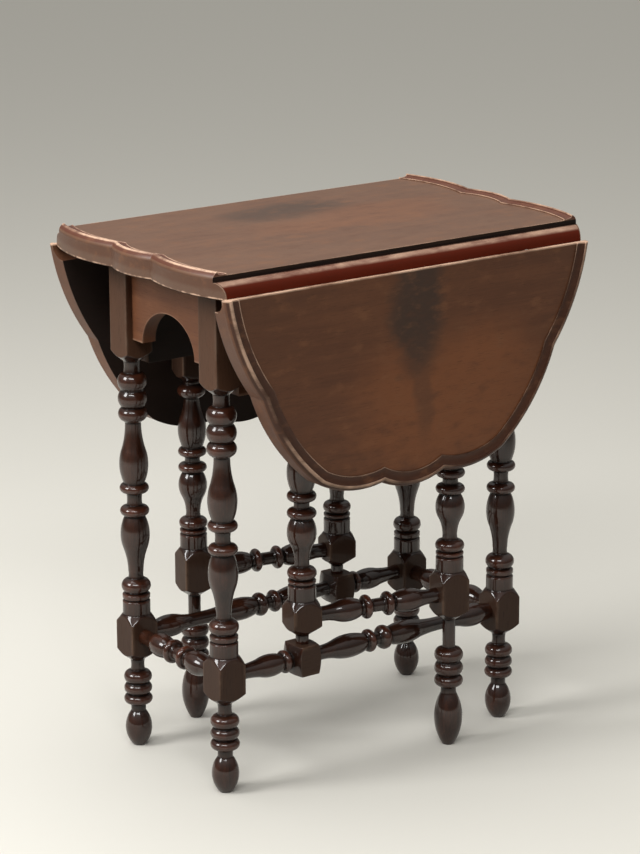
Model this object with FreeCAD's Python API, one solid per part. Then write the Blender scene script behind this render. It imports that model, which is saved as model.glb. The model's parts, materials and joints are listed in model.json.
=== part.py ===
import FreeCAD, Part
import math
import os

# Gate-leg side table with two drop leaves: turned legs and stretchers, arched end aprons,
# two swinging gates, rule-jointed leaves and a scalloped, moulded rim.
# Millimetres, +Z up, origin on the floor under the middle of the top.
# X runs along the fixed top, the front leaf hangs at -Y, and the back half is the front half
# turned half way round Z.

V = FreeCAD.Vector
X_AXIS = V(1, 0, 0)
Y_AXIS = V(0, 1, 0)
Z_AXIS = V(0, 0, 1)

# Overall sizes
table_height = 600.0
top_thickness = 27.5
joint_spacing = 300.0
joint_length = 486.0
leaf_drop = 238.5

# Frame
leg_spacing_x = 384.0
top_overhang = 62.6
leg_stock = 34.0
leg_turned_radius = 16.6
foot_height = 103.0
lower_block_height = 55.0
head_lap = 4.0
block_shoulder = 13.0
stretcher_rise = 30.0
rail_turned_radius = 14.0
apron_thickness = 18.0
side_apron_depth = 125.5
end_apron_depth = 93.5
arch_margin = 19.4
arch_rise = 42.0
glue_block_length = 80.0
glue_block_width = 20.0
glue_block_height = 24.0

# Joinery
tenon_web = 1.1
tenon_radius = 6.4
tenon_thickness = 8.0
tenon_shoulder = 12.0
glue_gap = 0.1

# Gates
pivot_offset = 88.0
pivot_block_length = 34.0
gate_length = 183.0
gate_leaf_gap = 8.0
gate_rail_rise = 20.0
pivot_neck_height = 9.5
pivot_block_height = 41.0
gate_foot_gap = 3.0
gate_block_height = 58.0
gate_head_drop = 42.0
gate_upper_rail_depth = 28.0
gate_upper_rail_thickness = 18.0
gate_head_rebate = 9.0
pintle_radius = 5.0
pintle_length = 12.0
running_gap = 0.05
gate_gap = 0.5
gate_rail_gap = 2.0

# Rule joint and moulded rim
ovolo_radius = 15.5
pin_rise = 1.8
joint_gap = 0.4
rim_raise = 4.5
rim_edge_height = 18.0
rim_crest_inset = 5.0
rim_crest_width = 1.5
rim_crest_step = 2.0
rim_crest_swell = 1.8
rim_width = 16.5
rim_step = 1.7
rim_hollow = 1.1
rim_depth = 38.0
rim_core_inset = 9.0
cusp_overlap = 24.0
mitre_tolerance = 0.06

# Hinges and screws
hinge_spacing = 300.0
hinge_width = 30.0
hinge_plate_thickness = 1.2
hinge_top_reach = 28.0
hinge_leaf_reach = 44.0
barrel_radius = 2.6
barrel_length = 8.0
barrel_gap = 0.4
hinge_pin_radius = 1.2
hinge_screw_inset = 9.0
hinge_screw_spacing = 18.0
screw_head_radius = 3.0
screw_head_height = 2.0
screw_radius = 1.4
hinge_screw_length = 13.0
top_screw_length = 38.0
top_screw_spacing = 60.0
screw_gap = 0.1

# One overrun for every cut, so that no cutting tool ends on a face
overrun = 5.0

# A square block's shoulders start from a cone this share of the stock in radius.
corner_share = 0.75

# Turned profiles: share of the section's length, share of the turned radius, and the rise of the
# arc from the row before as a share of the same radius (zero is a straight line).
foot_shares = (
    (0.0, 0.42, 0.0), (0.40, 0.50, 0.45), (0.475, 0.52, 0.0), (0.485, 0.68, 0.0),
    (0.595, 0.70, 0.29), (0.605, 0.74, 0.0), (0.725, 0.74, 0.22), (0.735, 0.74, 0.0),
    (0.86, 0.74, 0.22), (0.875, 0.50, 0.0), (1.0, 0.50, -0.05),
)
baluster_shares = (
    (0.0, 0.94, 0.0), (0.051, 0.94, 0.0), (0.057, 0.80, 0.0), (0.063, 0.94, 0.0),
    (0.078, 0.94, 0.0), (0.085, 0.72, 0.0), (0.137, 0.72, 0.28), (0.142, 0.53, 0.0),
    (0.17, 0.52, -0.03), (0.255, 0.78, -0.06), (0.39, 0.70, 0.25), (0.393, 0.72, 0.0),
    (0.43, 0.72, 0.27), (0.434, 0.54, 0.0), (0.48, 0.54, -0.04), (0.483, 0.72, 0.0),
    (0.52, 0.72, 0.27), (0.523, 0.72, 0.0), (0.66, 0.78, 0.23), (0.76, 0.54, -0.06),
    (0.768, 0.72, 0.0), (0.82, 0.72, 0.27), (0.823, 0.78, 0.0), (0.885, 0.78, 0.21),
    (0.89, 0.78, 0.0), (0.95, 0.78, 0.21), (0.955, 0.56, 0.0), (1.0, 0.56, -0.03),
)
gate_foot_shares = (
    (0.0, 0.40, 0.0), (0.413, 0.54, 0.50), (0.46, 0.54, -0.02), (0.47, 0.72, 0.0),
    (0.555, 0.72, 0.27), (0.565, 0.78, 0.0), (0.66, 0.78, 0.21), (0.67, 0.78, 0.0),
    (0.765, 0.78, 0.21), (0.78, 0.44, 0.0), (1.0, 0.44, 0.0),
)
gate_baluster_shares = (
    (0.0, 0.94, 0.0), (0.08, 0.94, 0.0), (0.088, 0.80, 0.0), (0.097, 0.94, 0.0),
    (0.11, 0.94, 0.0), (0.118, 0.72, 0.0), (0.18, 0.72, 0.27), (0.187, 0.53, 0.0),
    (0.235, 0.52, -0.03), (0.31, 0.78, -0.05), (0.455, 0.70, 0.25), (0.46, 0.72, 0.0),
    (0.51, 0.72, 0.27), (0.515, 0.54, 0.0), (0.55, 0.54, -0.02), (0.555, 0.72, 0.0),
    (0.605, 0.72, 0.27), (0.61, 0.72, 0.0), (0.80, 0.78, 0.23), (0.90, 0.54, -0.05),
    (0.91, 0.72, 0.0), (0.975, 0.72, 0.27), (0.985, 0.56, 0.0), (1.0, 0.56, 0.0),
)
half_rail_shares = (
    (0.0, 0.64, 0.0), (0.04, 0.60, 0.0), (0.15, 0.74, -0.05), (0.35, 0.72, 0.22),
    (0.362, 0.56, 0.0), (0.38, 0.68, 0.0), (0.44, 0.68, 0.30), (0.455, 0.54, 0.0),
    (0.5, 0.54, 0.0),
)
short_stretcher_shares = (
    (0.0, 0.64, 0.0), (0.08, 0.58, 0.0), (0.40, 0.74, -0.04), (0.80, 0.74, 0.17),
    (0.83, 0.68, 0.0), (0.95, 0.68, 0.25), (1.0, 0.60, 0.0),
)
long_stretcher_shares = (
    (0.0, 0.60, 0.0), (0.03, 0.58, 0.0), (0.10, 0.72, -0.04), (0.27, 0.72, 0.24),
    (0.278, 0.56, 0.0), (0.285, 0.68, 0.0), (0.32, 0.68, 0.26), (0.328, 0.54, 0.0),
    (0.352, 0.54, 0.0), (0.36, 0.68, 0.0), (0.41, 0.68, 0.31), (0.418, 0.72, 0.0),
    (0.58, 0.74, 0.22), (0.70, 0.56, -0.05), (0.76, 0.56, 0.0), (0.83, 0.72, -0.04),
    (0.96, 0.74, 0.20), (1.0, 0.64, 0.0),
)

# Scalloped rim: the cusps between its arcs, as shares of half the joint's length along X and of
# the leaf's drop or half the joint spacing across, then the rise of each arc as a share of its chord.
leaf_cusp_shares = ((1.0, 0.0), (0.811, 0.470), (0.512, 0.906), (0.169, 0.958))
leaf_rise_shares = (0.060, 0.070, 0.095)
leaf_middle_rise_share = 0.119
top_cusp_shares = ((1.012, 0.253), (1.0, 1.0))
top_rise_shares = (0.075,)
top_middle_rise_share = 0.105

# Places worked out from the sizes above
underside = table_height - top_thickness
field_height = table_height - rim_raise
pin_height = underside + pin_rise
joint_y = joint_spacing / 2
joint_half = joint_length / 2
half_stock = leg_stock / 2
corner_radius = leg_stock * corner_share
leg_x = leg_spacing_x / 2
leg_y = joint_y - top_overhang
side_apron_bottom = underside - side_apron_depth
end_apron_bottom = underside - end_apron_depth
arch_width = (leg_y - half_stock - arch_margin) * 2
baluster_height = side_apron_bottom + head_lap - foot_height - lower_block_height
stretcher_height = foot_height + stretcher_rise
tenon_length = half_stock - tenon_radius - tenon_web
pivot_seat = stretcher_height + half_stock + gate_gap
pivot_head = side_apron_bottom - gate_gap
gate_rail_top = side_apron_bottom - gate_rail_gap
gate_rail_height = pivot_seat + pivot_neck_height + gate_rail_rise
gate_foot_height = stretcher_height + rail_turned_radius + gate_foot_gap
gate_head_height = side_apron_bottom - gate_head_drop

# The gate stands out until its leg's outer corner is a gap behind the hanging leaf.
corner_arm = math.hypot(gate_length + half_stock, half_stock)
corner_turn = math.atan2(half_stock, gate_length + half_stock)
corner_stand = top_overhang - pin_rise - gate_leaf_gap
gate_angle = math.degrees(math.asin(corner_stand / corner_arm) - corner_turn)


def span_box(corner, opposite):
    """Box between two opposite corners, given in any order."""
    low = V(*(min(a, b) for a, b in zip(corner, opposite)))
    high = V(*(max(a, b) for a, b in zip(corner, opposite)))
    return Part.makeBox(high.x - low.x, high.y - low.y, high.z - low.z, low)


def turned_rows(shares, start, length, radius):
    """Profile rows of one turned section, in millimetres."""
    return [(start + along * length, wide * radius, rise * radius) for along, wide, rise in shares]


def block_rows(start, length, shoulder, start_neck, end_neck):
    """Profile rows of a square block: cones at both ends that cut its corners to shoulders."""
    return [
        (start, start_neck, 0),
        (start + shoulder, corner_radius, 0),
        (start + length - shoulder, corner_radius, 0),
        (start + length, end_neck, 0),
    ]


def head_rows(start, end, shoulder, neck):
    """Profile rows of a square head that ends flat."""
    return [(start, neck, 0), (start + shoulder, corner_radius, 0), (end, corner_radius, 0)]


def mirrored(shares):
    """A symmetric section's rows from those of its first half."""
    back = [
        (1 - before[0], before[1], row[2])
        for before, row in zip(reversed(shares[:-1]), reversed(shares[1:]))
    ]
    return tuple(shares) + tuple(back)


def turned(rows, stock):
    """Turn a square bar round Z to a profile of (height, radius, arc rise) rows."""
    points = [V(radius, 0, height) for height, radius, _ in rows]
    foot = V(0, 0, points[0].z)
    head = V(0, 0, points[-1].z)
    edges = [Part.makeLine(foot, points[0])]
    for before, after, row in zip(points, points[1:], rows[1:]):
        step = after - before
        if step.Length == 0:
            continue
        if row[2] == 0:
            edges.append(Part.makeLine(before, after))
        else:
            outward = V(step.z, 0, -step.x).normalize()
            middle = (before + after) * 0.5 + outward * row[2]
            edges.append(Part.Arc(before, middle, after).toShape())
    edges += [Part.makeLine(points[-1], head), Part.makeLine(head, foot)]
    round_bar = Part.Face(Part.Wire(edges)).revolve(V(), Z_AXIS, 360)
    square_bar = span_box((-stock / 2, -stock / 2, foot.z), (stock / 2, stock / 2, head.z))
    return round_bar.common(square_bar).removeSplitter()


def tenoned(rows, radius, start_length, end_length):
    """Add a round tenon, or pintle, to each end of a profile."""
    first, last = rows[0][0], rows[-1][0]
    start = [(first - start_length, radius, 0), (first, radius, 0)]
    end = [(last, radius, 0), (last + end_length, radius, 0)]
    return start + rows + end


def half_turned(shape):
    """The same piece on the back half of the table."""
    turned_copy = shape.copy()
    turned_copy.rotate(V(), Z_AXIS, 180)
    return turned_copy


def along_x(shape, y, z):
    """Lay a piece turned round Z along X, at the given depth and height."""
    laid = shape.copy()
    laid.rotate(V(), Y_AXIS, 90)
    laid.translate(V(0, y, z))
    return laid


def along_y(shape, x, z):
    """Lay a piece turned round Z along Y, at the given place and height."""
    laid = shape.copy()
    laid.rotate(V(), X_AXIS, -90)
    laid.translate(V(x, 0, z))
    return laid


def bore_along(axis, start, radius, length):
    """Round bore from a point along an axis."""
    return Part.makeCylinder(radius, length, start, axis)


def side_tenon(side_y, end_x, gap):
    """Tenon of a side apron in one leg, or its mortise with the glue gap."""
    inner = end_x * (leg_x - half_stock)
    reach = end_x * (tenon_length + gap)
    half = tenon_thickness / 2 + gap
    low = side_apron_bottom + tenon_shoulder - gap
    high = underside - tenon_shoulder + gap
    return span_box((inner, side_y * leg_y - half, low), (inner + reach, side_y * leg_y + half, high))


def end_tenon(end_x, side_y, gap):
    """Tenon of an end apron in one leg, or its mortise with the glue gap."""
    inner = side_y * (leg_y - half_stock)
    reach = side_y * (tenon_length + gap)
    half = tenon_thickness / 2 + gap
    low = end_apron_bottom + tenon_shoulder - gap
    high = underside - tenon_shoulder + gap
    return span_box((end_x * leg_x - half, inner, low), (end_x * leg_x + half, inner + reach, high))


def corner_leg(end_x, side_y):
    """Corner leg, mortised for two aprons and bored for two stretchers."""
    radius = leg_turned_radius
    block_start = foot_height
    baluster_start = block_start + lower_block_height
    head_start = baluster_start + baluster_height
    foot = turned_rows(foot_shares, 0, foot_height, radius)
    baluster = turned_rows(baluster_shares, baluster_start, baluster_height, radius)
    block = block_rows(block_start, lower_block_height, block_shoulder, foot[-1][1], baluster[0][1])
    head = head_rows(head_start, underside, block_shoulder, baluster[-1][1])
    leg = turned(foot + block + baluster + head, leg_stock)
    leg.translate(V(end_x * leg_x, side_y * leg_y, 0))
    depth = tenon_length + glue_gap
    face_x = V(end_x * (leg_x - half_stock), side_y * leg_y, stretcher_height)
    face_y = V(end_x * leg_x, side_y * (leg_y - half_stock), stretcher_height)
    bores = [
        bore_along(X_AXIS * end_x, face_x, tenon_radius + glue_gap, depth),
        bore_along(Y_AXIS * side_y, face_y, tenon_radius + glue_gap, depth),
    ]
    mortises = [side_tenon(side_y, end_x, glue_gap), end_tenon(end_x, side_y, glue_gap)]
    return leg.cut(bores + mortises)


def side_apron():
    """Front side apron: a plain board, bored below for the gate's upper pintle."""
    half = apron_thickness / 2
    reach = leg_x - half_stock
    board = span_box((-reach, -leg_y - half, side_apron_bottom), (reach, -leg_y + half, underside))
    board = board.fuse([side_tenon(-1, -1, 0), side_tenon(-1, 1, 0)]).removeSplitter()
    start = V(-pivot_offset, -leg_y, side_apron_bottom)
    depth = pintle_length - gate_gap + running_gap
    return board.cut(bore_along(Z_AXIS, start, pintle_radius + running_gap, depth))


def end_apron():
    """Left end apron: a board with an elliptical arch cut in its lower edge."""
    half = apron_thickness / 2
    reach = leg_y - half_stock
    board = span_box((-leg_x - half, -reach, end_apron_bottom), (-leg_x + half, reach, underside))
    board = board.fuse([end_tenon(-1, -1, 0), end_tenon(-1, 1, 0)]).removeSplitter()
    middle = V(-leg_x - half - overrun, 0, end_apron_bottom)
    side = V(middle.x, arch_width / 2, end_apron_bottom)
    crown = V(middle.x, 0, end_apron_bottom + arch_rise)
    axes = (side, crown) if arch_width / 2 > arch_rise else (crown, side)
    curve = Part.Ellipse(*axes, middle).toShape()
    arch = Part.Face(Part.Wire([curve])).extrude(V(apron_thickness + overrun * 2, 0, 0))
    return board.cut(arch)


def long_stretcher():
    """Front long stretcher: a square block carries the gate's pivot between two turned lengths."""
    radius = rail_turned_radius
    reach = leg_x - half_stock
    block_start = -pivot_offset - pivot_block_length / 2
    block_end = block_start + pivot_block_length
    short = turned_rows(short_stretcher_shares, -reach, block_start + reach, radius)
    far = turned_rows(long_stretcher_shares, block_end, reach - block_end, radius)
    shoulder = block_shoulder / 2
    block = block_rows(block_start, pivot_block_length, shoulder, short[-1][1], far[0][1])
    rows = tenoned(short + block + far, tenon_radius, tenon_length, tenon_length)
    bar = along_x(turned(rows, leg_stock), -leg_y, stretcher_height)
    seat = V(-pivot_offset, -leg_y, stretcher_height + half_stock)
    depth = pintle_length - gate_gap + running_gap
    return bar.cut(bore_along(Z_AXIS * -1, seat, pintle_radius + running_gap, depth))


def end_stretcher():
    """Left end stretcher: turned, the same from both ends."""
    reach = leg_y - half_stock
    rows = turned_rows(mirrored(half_rail_shares), -reach, reach * 2, rail_turned_radius)
    rows = tenoned(rows, tenon_radius, tenon_length, tenon_length)
    return along_y(turned(rows, leg_stock), -leg_x, stretcher_height)


def screw(length, gap):
    """Countersunk screw with its head at the origin, pointing up, or its hole with a gap."""
    head = Part.makeCone(screw_head_radius + gap, screw_radius + gap, screw_head_height)
    shank = Part.makeCylinder(screw_radius + gap, length + gap)
    return head.fuse(shank).removeSplitter()


def placed_screws(places, length, gap):
    """One screw, or its hole, at each place."""
    pieces = []
    for place in places:
        piece = screw(length, gap)
        piece.translate(place)
        pieces.append(piece)
    return pieces


def glue_block_places():
    """Middle of each glue block's underside, with the direction that the block runs in."""
    low = underside - glue_block_height
    from_apron = apron_thickness / 2 + glue_block_width / 2
    return {
        "left": (V(-leg_x + from_apron, 0, low), Y_AXIS),
        "right": (V(leg_x - from_apron, 0, low), Y_AXIS),
        "front": (V(0, -leg_y + from_apron, low), X_AXIS),
        "back": (V(0, leg_y - from_apron, low), X_AXIS),
    }


def top_screw_places(middle, along):
    """Heads of the two screws that go up through one glue block into the top."""
    return [middle + along * (end * top_screw_spacing / 2) for end in (-1, 1)]


def glue_block(middle, along):
    """Block glued into the corner under the top, bored for its screws."""
    half = along * (glue_block_length / 2) + Z_AXIS.cross(along) * (glue_block_width / 2)
    block = span_box(middle - half, middle + half + Z_AXIS * glue_block_height)
    return block.cut(placed_screws(top_screw_places(middle, along), top_screw_length, screw_gap))


def bump(start, end, rise):
    """Centre, radius and the two end angles of the arc that bulges by rise, right of start to end."""
    chord = end - start
    radius = (chord.Length ** 2 / 4 + rise ** 2) / (rise * 2)
    inward = Z_AXIS.cross(chord).normalize()
    centre = (start + end) * 0.5 + inward * (radius - rise)
    from_centre = [point - centre for point in (start, end)]
    angles = [math.degrees(math.atan2(arm.y, arm.x)) for arm in from_centre]
    return centre, radius, angles[0], (angles[1] - angles[0]) % 360


def bent(start, end, swell):
    """Edge of a section from start to end, bulging to its right by swell."""
    slope = end - start
    outward = V(slope.z, 0, -slope.x).normalize()
    return Part.Arc(start, (start + end) * 0.5 + outward * swell, end).toShape()


def rim_section(radius):
    """Section of the moulded rim: round edge, raised crest, hollow, step and a strip of the field."""
    crest_start = radius - rim_crest_inset
    crest_end = crest_start - rim_crest_width
    field_edge = radius - rim_width
    points = [
        V(radius - rim_depth, 0, underside),
        V(radius, 0, underside),
        V(radius, 0, underside + rim_edge_height),
        V(crest_start, 0, table_height),
        V(crest_end, 0, table_height),
        V(crest_end, 0, table_height - rim_crest_step),
        V(field_edge, 0, field_height + rim_step),
        V(field_edge, 0, field_height),
        V(radius - rim_depth, 0, field_height),
    ]
    edges = [Part.makeLine(a, b) for a, b in zip(points, points[1:] + points[:1])]
    edges[2] = bent(points[2], points[3], rim_crest_swell)
    edges[5] = bent(points[5], points[6], -rim_hollow)
    return Part.Face(Part.Wire(edges))


def rim_arc(start, end, rise):
    """One scallop of the moulded rim, run on past both of its cusps."""
    centre, radius, angle, sweep = bump(start, end, rise)
    margin = math.degrees(cusp_overlap / radius)
    section = rim_section(radius)
    section.rotate(V(), Z_AXIS, angle - margin)
    ring = section.revolve(V(), Z_AXIS, sweep + margin * 2)
    ring.translate(V(centre.x, centre.y, 0))
    return ring


def mitre_block(cusp, inward, side):
    """Block on one side of the mitre that runs inward from a cusp."""
    reach = rim_depth + cusp_overlap
    low = (-reach, 0, underside - overrun)
    block = span_box(low, (reach, side * reach, table_height + overrun))
    block.rotate(V(), Z_AXIS, math.degrees(math.atan2(inward.y, inward.x)))
    block.translate(cusp)
    return block


def moulded_rim(cusps, rises):
    """Scallops of the moulded rim through the cusps, mitred where they meet."""
    arcs = [rim_arc(a, b, rise) for a, b, rise in zip(cusps, cusps[1:], rises)]
    centres = [bump(a, b, rise)[0] for a, b, rise in zip(cusps, cusps[1:], rises)]
    for index, cusp in enumerate(cusps[1:-1]):
        inward = sum((V(middle - cusp).normalize() for middle in centres[index:index + 2]), V())
        arcs[index] = arcs[index].cut(mitre_block(cusp, inward, -1))
        arcs[index + 1] = arcs[index + 1].cut(mitre_block(cusp, inward, 1))
    return arcs


def moulded_board(rims, core):
    """Board of a plain core outline at the field's height, with its moulded rims."""
    return prism(core, underside, field_height).fuse(rims, mitre_tolerance).removeSplitter()


def prism(outline, low, high):
    """Upright prism over a flat outline of points."""
    points = [V(point.x, point.y, low) for point in outline]
    wire = Part.makePolygon(points + points[:1])
    return Part.Face(wire).extrude(V(0, 0, high - low))


def rise_list(points, shares):
    """Rise of each arc from its share of the chord."""
    return [(b - a).Length * share for a, b, share in zip(points, points[1:], shares)]


def inset(points, middle, distance):
    """Outline points moved towards a middle point."""
    return [point + (middle - point).normalize() * distance for point in points]


def raised_leaf_board():
    """Front leaf as it lies when raised, before its hinges are let in."""
    half = [V(x * joint_half, -joint_y - drop * leaf_drop, 0) for x, drop in leaf_cusp_shares]
    cusps = [V(-point.x, point.y, 0) for point in half] + half[::-1]
    shares = leaf_rise_shares + (leaf_middle_rise_share,) + leaf_rise_shares[::-1]
    middle = V(0, -joint_y, 0)
    core = inset(cusps, middle, rim_core_inset)
    board = moulded_board(moulded_rim(cusps, rise_list(cusps, shares)), core)
    reach = joint_length
    edge = -joint_y - joint_gap
    beyond = span_box((-reach, edge, underside - overrun), (reach, 0, table_height + overrun))
    cove = bore_along(X_AXIS, V(-reach, -joint_y, pin_height), ovolo_radius + joint_gap, reach * 2)
    return board.cut([beyond, cove])


def top_board_blank():
    """Fixed top with scalloped ends and the ovolo of the rule joint along both sides."""
    half = [V(x * joint_half, y * joint_y, 0) for x, y in top_cusp_shares]
    right = [V(point.x, -point.y, 0) for point in half[::-1]] + half
    left = [V(-point.x, -point.y, 0) for point in right]
    shares = top_rise_shares[::-1] + (top_middle_rise_share,) + top_rise_shares
    edge = joint_y + ovolo_radius
    core_half = joint_half - rim_core_inset
    core = [V(x * core_half, y * edge, 0) for x, y in ((-1, -1), (1, -1), (1, 1), (-1, 1))]
    rises = rise_list(right, shares)
    board = moulded_board(moulded_rim(right, rises) + moulded_rim(left, rises), core)
    return board.common(rule_joint_section())


def rule_joint_section():
    """Section of the fixed top across Y, with a fillet and an ovolo round each hinge pin."""
    start = -joint_length
    arc_top = pin_height + ovolo_radius
    edge = joint_y + ovolo_radius
    diagonal = ovolo_radius * math.sqrt(0.5)
    front_bend = V(start, -joint_y - diagonal, pin_height + diagonal)
    back_bend = V(start, joint_y + diagonal, pin_height + diagonal)
    corners = [
        V(start, -edge, pin_height), V(start, -edge, underside), V(start, edge, underside),
        V(start, edge, pin_height), V(start, joint_y, arc_top), V(start, joint_y, table_height),
        V(start, -joint_y, table_height), V(start, -joint_y, arc_top),
    ]
    edges = [Part.makeLine(a, b) for a, b in zip(corners, corners[1:])]
    edges[3] = Part.Arc(corners[3], back_bend, corners[4]).toShape()
    edges.append(Part.Arc(corners[7], front_bend, corners[0]).toShape())
    return Part.Face(Part.Wire(edges)).extrude(V(joint_length * 2, 0, 0))


def barrel(start_x, length, radius):
    """Round length of a hinge on the front pin axis."""
    return bore_along(X_AXIS, V(start_x, -joint_y, pin_height), radius, length)


def hinge_screw_places(hinge_x, across):
    """Heads of the two screws of one hinge plate, flush under it."""
    return [V(hinge_x + end * hinge_screw_spacing / 2, across, underside) for end in (-1, 1)]


def top_screw_line():
    """Distance across of the screws of a hinge's fixed plate."""
    return -joint_y + hinge_top_reach - hinge_screw_inset


def leaf_screw_line():
    """Distance across of the screws of a raised hinge's leaf plate."""
    return -joint_y - hinge_leaf_reach + hinge_screw_inset


def plate(hinge_x, near, far, extra):
    """Flat hinge plate, or its recess widened by an extra clearance."""
    half = hinge_width / 2 + extra
    low = (hinge_x - half, near, underside)
    return span_box(low, (hinge_x + half, far, underside + hinge_plate_thickness + extra))


def middle_barrel_span(hinge_x, gap):
    """Start and length of the leaf's barrel between the two fixed ones."""
    half = hinge_width / 2 - barrel_length - gap
    return hinge_x - half, half * 2


def hinge_top_plate(hinge_x):
    """Fixed plate of one hinge, with the two outer barrels."""
    blank = plate(hinge_x, -joint_y, -joint_y + hinge_top_reach, 0)
    start, length = middle_barrel_span(hinge_x, 0)
    blank = blank.fuse(barrel(hinge_x - hinge_width / 2, hinge_width, barrel_radius))
    notch = barrel(start, length, barrel_radius + barrel_gap)
    pin_hole = barrel(hinge_x - hinge_width, hinge_width * 2, hinge_pin_radius + running_gap)
    holes = placed_screws(hinge_screw_places(hinge_x, top_screw_line()), hinge_screw_length, screw_gap)
    return blank.cut([notch, pin_hole] + holes).removeSplitter()


def hinge_leaf_plate(hinge_x):
    """Leaf plate of one hinge as it lies when raised, with the middle barrel."""
    blank = plate(hinge_x, -joint_y, -joint_y - hinge_leaf_reach, 0)
    start, length = middle_barrel_span(hinge_x, barrel_gap)
    blank = blank.fuse(barrel(start, length, barrel_radius))
    far_end = hinge_x + hinge_width / 2 - barrel_length - barrel_gap
    side = barrel_length + barrel_gap + overrun
    notches = [
        barrel(hinge_x - hinge_width / 2 - overrun, side, barrel_radius + barrel_gap),
        barrel(far_end, side, barrel_radius + barrel_gap),
    ]
    pin_hole = barrel(hinge_x - hinge_width, hinge_width * 2, hinge_pin_radius + running_gap)
    holes = placed_screws(hinge_screw_places(hinge_x, leaf_screw_line()), hinge_screw_length, screw_gap)
    return blank.cut(notches + [pin_hole] + holes).removeSplitter()


def hinge_pin(hinge_x):
    """Pin through the barrels of one hinge."""
    return barrel(hinge_x - hinge_width / 2, hinge_width, hinge_pin_radius)


def front_gains(hinge_x):
    """What is cut from the fixed top for one front hinge, its screws and its raised leaf plate."""
    groove_start = hinge_x - hinge_width / 2 - barrel_gap
    groove_length = hinge_width + barrel_gap * 2
    lap = plate(hinge_x, -joint_y, -joint_y - ovolo_radius - overrun, barrel_gap)
    below = barrel(groove_start, groove_length, barrel_radius + barrel_gap)
    screws = placed_screws(hinge_screw_places(hinge_x, top_screw_line()), hinge_screw_length, screw_gap)
    return [plate(hinge_x, -joint_y, -joint_y + hinge_top_reach, 0), lap, below] + screws


def leaf_gains(hinge_x):
    """What is cut from a raised leaf for one hinge's plate and screws."""
    screws = placed_screws(hinge_screw_places(hinge_x, leaf_screw_line()), hinge_screw_length, screw_gap)
    return [plate(hinge_x, -joint_y, -joint_y - hinge_leaf_reach, 0)] + screws


def hanging(shape):
    """A raised front leaf's piece, swung down about its hinge pins."""
    hung = shape.copy()
    hung.rotate(V(0, -joint_y, pin_height), X_AXIS, 90)
    return hung


def on_gate(shape):
    """A piece built with the gate along X from its pivot, set at its place in the front gate."""
    set_piece = shape.copy()
    set_piece.rotate(V(), Z_AXIS, -gate_angle)
    set_piece.translate(V(-pivot_offset, -leg_y, 0))
    return set_piece


def gate_rail_tenon(post_x, direction, gap):
    """Tenon of the upper gate rail in a post, or its mortise with the glue gap."""
    face = post_x + direction * half_stock
    half = tenon_thickness / 2 + gap
    low = gate_rail_top - gate_upper_rail_depth + tenon_shoulder / 2 - gap
    high = gate_rail_top - tenon_shoulder / 2 + gap
    return span_box((face, -half, low), (face - direction * (tenon_length + gap), half, high))


def lower_rail_bore(post_x, direction):
    """Bore for the lower gate rail's tenon in a post."""
    start = V(post_x + direction * half_stock, 0, gate_rail_height)
    return bore_along(X_AXIS * -direction, start, tenon_radius + glue_gap, tenon_length + glue_gap)


def pivot_post():
    """Gate's turned pivot post, with a pintle at each end."""
    radius = leg_turned_radius
    neck = radius * gate_foot_shares[-1][1]
    block_start = pivot_seat + pivot_neck_height
    baluster_start = block_start + pivot_block_height
    baluster_height_here = gate_head_height - baluster_start
    baluster = turned_rows(gate_baluster_shares, baluster_start, baluster_height_here, radius)
    block = block_rows(block_start, pivot_block_height, block_shoulder, neck, baluster[0][1])
    head = head_rows(gate_head_height, pivot_head, block_shoulder, baluster[-1][1])
    rows = [(pivot_seat, neck, 0)] + block + baluster + head
    post = turned(tenoned(rows, pintle_radius, pintle_length, pintle_length), leg_stock)
    return post.cut([lower_rail_bore(0, 1), gate_rail_tenon(0, 1, glue_gap)])


def gate_leg():
    """Gate's turned leg: a slim neck passes the stretcher, and its head is rebated for the apron."""
    radius = leg_turned_radius
    block_start = gate_foot_height
    baluster_start = block_start + gate_block_height
    head_top = underside - gate_gap
    foot = turned_rows(gate_foot_shares, 0, gate_foot_height, radius)
    baluster_height_here = gate_head_height - baluster_start
    baluster = turned_rows(gate_baluster_shares, baluster_start, baluster_height_here, radius)
    block = block_rows(block_start, gate_block_height, block_shoulder, foot[-1][1], baluster[0][1])
    head = head_rows(gate_head_height, head_top, block_shoulder, baluster[-1][1])
    leg = turned(foot + block + baluster + head, leg_stock)
    leg.translate(V(gate_length, 0, 0))
    rebate = span_box(
        (gate_length - leg_stock, half_stock - gate_head_rebate, gate_rail_top),
        (gate_length + leg_stock, leg_stock, head_top + overrun),
    )
    return leg.cut([lower_rail_bore(gate_length, -1), gate_rail_tenon(gate_length, -1, glue_gap), rebate])


def gate_lower_rail():
    """Gate's turned lower rail."""
    start = half_stock
    length = gate_length - leg_stock
    rows = turned_rows(mirrored(half_rail_shares), start, length, rail_turned_radius)
    rows = tenoned(rows, tenon_radius, tenon_length, tenon_length)
    return along_x(turned(rows, leg_stock), 0, gate_rail_height)


def gate_upper_rail():
    """Gate's plain upper rail, under the apron."""
    half = gate_upper_rail_thickness / 2
    low = gate_rail_top - gate_upper_rail_depth
    rail = span_box((half_stock, -half, low), (gate_length - half_stock, half, gate_rail_top))
    return rail.fuse([gate_rail_tenon(0, 1, 0), gate_rail_tenon(gate_length, -1, 0)]).removeSplitter()


def hinge_places():
    """Places along the front pin axis of its two hinges, by name."""
    return {"left": -hinge_spacing / 2, "right": hinge_spacing / 2}


def build_top():
    """The fixed top, cut for all four hinges and the screws from below."""
    gains = [tool for hinge_x in hinge_places().values() for tool in front_gains(hinge_x)]
    gains += [half_turned(tool) for tool in gains]
    for middle, along in glue_block_places().values():
        gains += placed_screws(top_screw_places(middle, along), top_screw_length, screw_gap)
    return top_board_blank().cut(gains).removeSplitter()


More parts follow.
